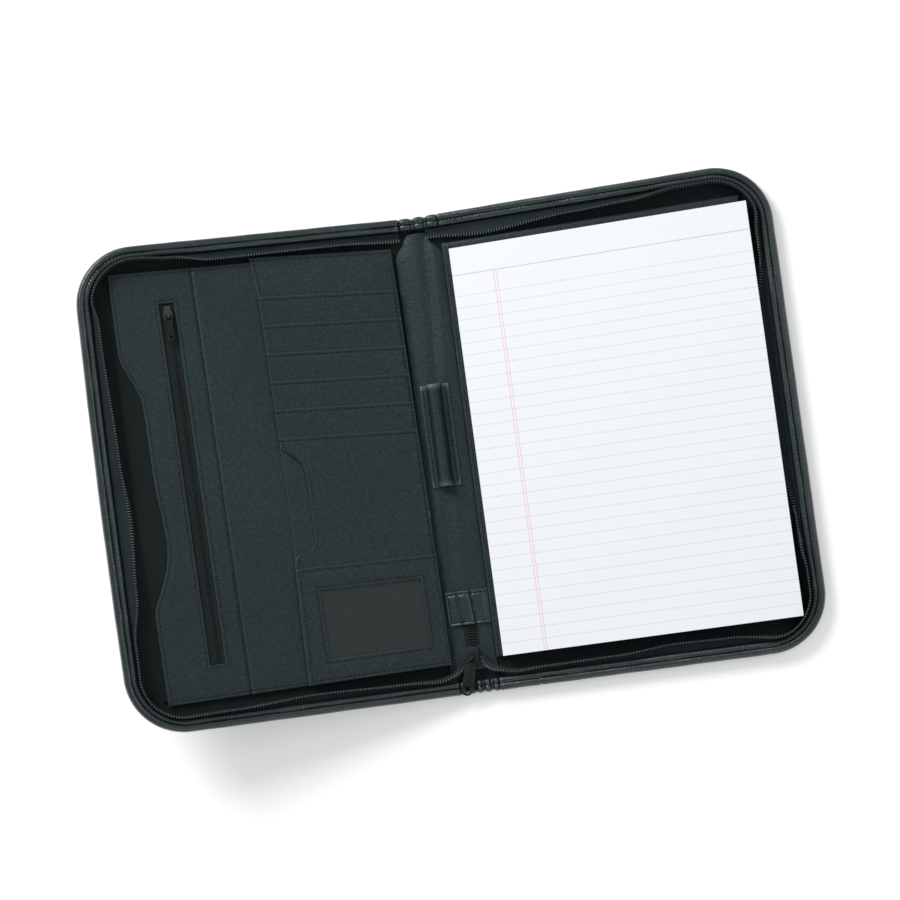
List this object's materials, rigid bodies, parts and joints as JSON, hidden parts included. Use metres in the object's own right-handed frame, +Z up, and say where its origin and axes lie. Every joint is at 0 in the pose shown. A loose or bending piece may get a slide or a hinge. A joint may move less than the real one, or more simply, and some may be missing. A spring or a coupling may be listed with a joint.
{
  "type": "zip-around portfolio with writing pad",
  "caption": "Padded leatherette portfolio lying open: zip round the rim, pockets, card slots and a clear window on the left, pen loop on the spine, ruled writing pad on the right.",
  "frame": {"origin": "under the middle of the opened portfolio's box, on the surface that it lies on", "axes": "+X across the opened portfolio from the pocket half to the pad half, +Y up the page towards the pad's header, +Z up"},
  "size_m": [0.499, 0.3502, 0.0762],
  "materials": {
    "leather": "fine-grained black leatherette, satin",
    "lining": "matt black woven lining",
    "zip_tape": "matt black woven zip tape",
    "zip_teeth": "black nylon coil",
    "metal": "black enamelled zinc, satin",
    "clear_vinyl": "clear glossy vinyl",
    "board": "grey chipboard",
    "paper": "smooth white ruled paper"
  },
  "bodies": {
    "portfolio": {"outer_cover": "leather", "inner_lining": "lining", "left_welt": "leather", "right_welt": "leather", "spine_welt_top": "leather", "spine_welt_foot": "leather", "zip_tape_left": "zip_tape", "zip_teeth_left": "zip_teeth", "zip_tape_right": "zip_tape", "zip_teeth_right": "zip_teeth", "spine_lining": "leather", "zip_tail": "zip_tape", "zip_end_band": "leather", "zip_slider": "metal", "pen_loop": "leather", "document_pocket_back": "lining", "document_panel": "leather", "pocket_zip_tape": "zip_tape", "pocket_zip_teeth": "zip_teeth", "pocket_zip_slider": "metal", "card_panel": "leather", "card_slot_1": "leather", "card_slot_2": "leather", "card_slot_3": "leather", "card_slot_4": "leather", "card_slot_5": "leather", "side_pocket": "leather", "window_pocket": "leather", "id_window": "clear_vinyl", "pad_lining": "leather", "pad_strip": "leather", "pad_board": "board", "pad_paper": "paper"},
    "rim_pull": {"zip_pull": "metal"},
    "pocket_pull": {"pocket_zip_pull": "metal"}
  },
  "joints": [
    {"name": "rim_pull_hinge", "type": "hinge", "parent": "portfolio", "child": "rim_pull", "pos_m": [-0.00576, -0.14872, 0.0126], "axis": [-0.9563, 0.2924, 0], "range_deg": [0, 175]},
    {"name": "pocket_pull_hinge", "type": "hinge", "parent": "portfolio", "child": "pocket_pull", "pos_m": [-0.18509, 0.12212, 0.05389], "axis": [-0.9658, -0.0145, 0.2588], "range_deg": [0, 175]}
  ]
}
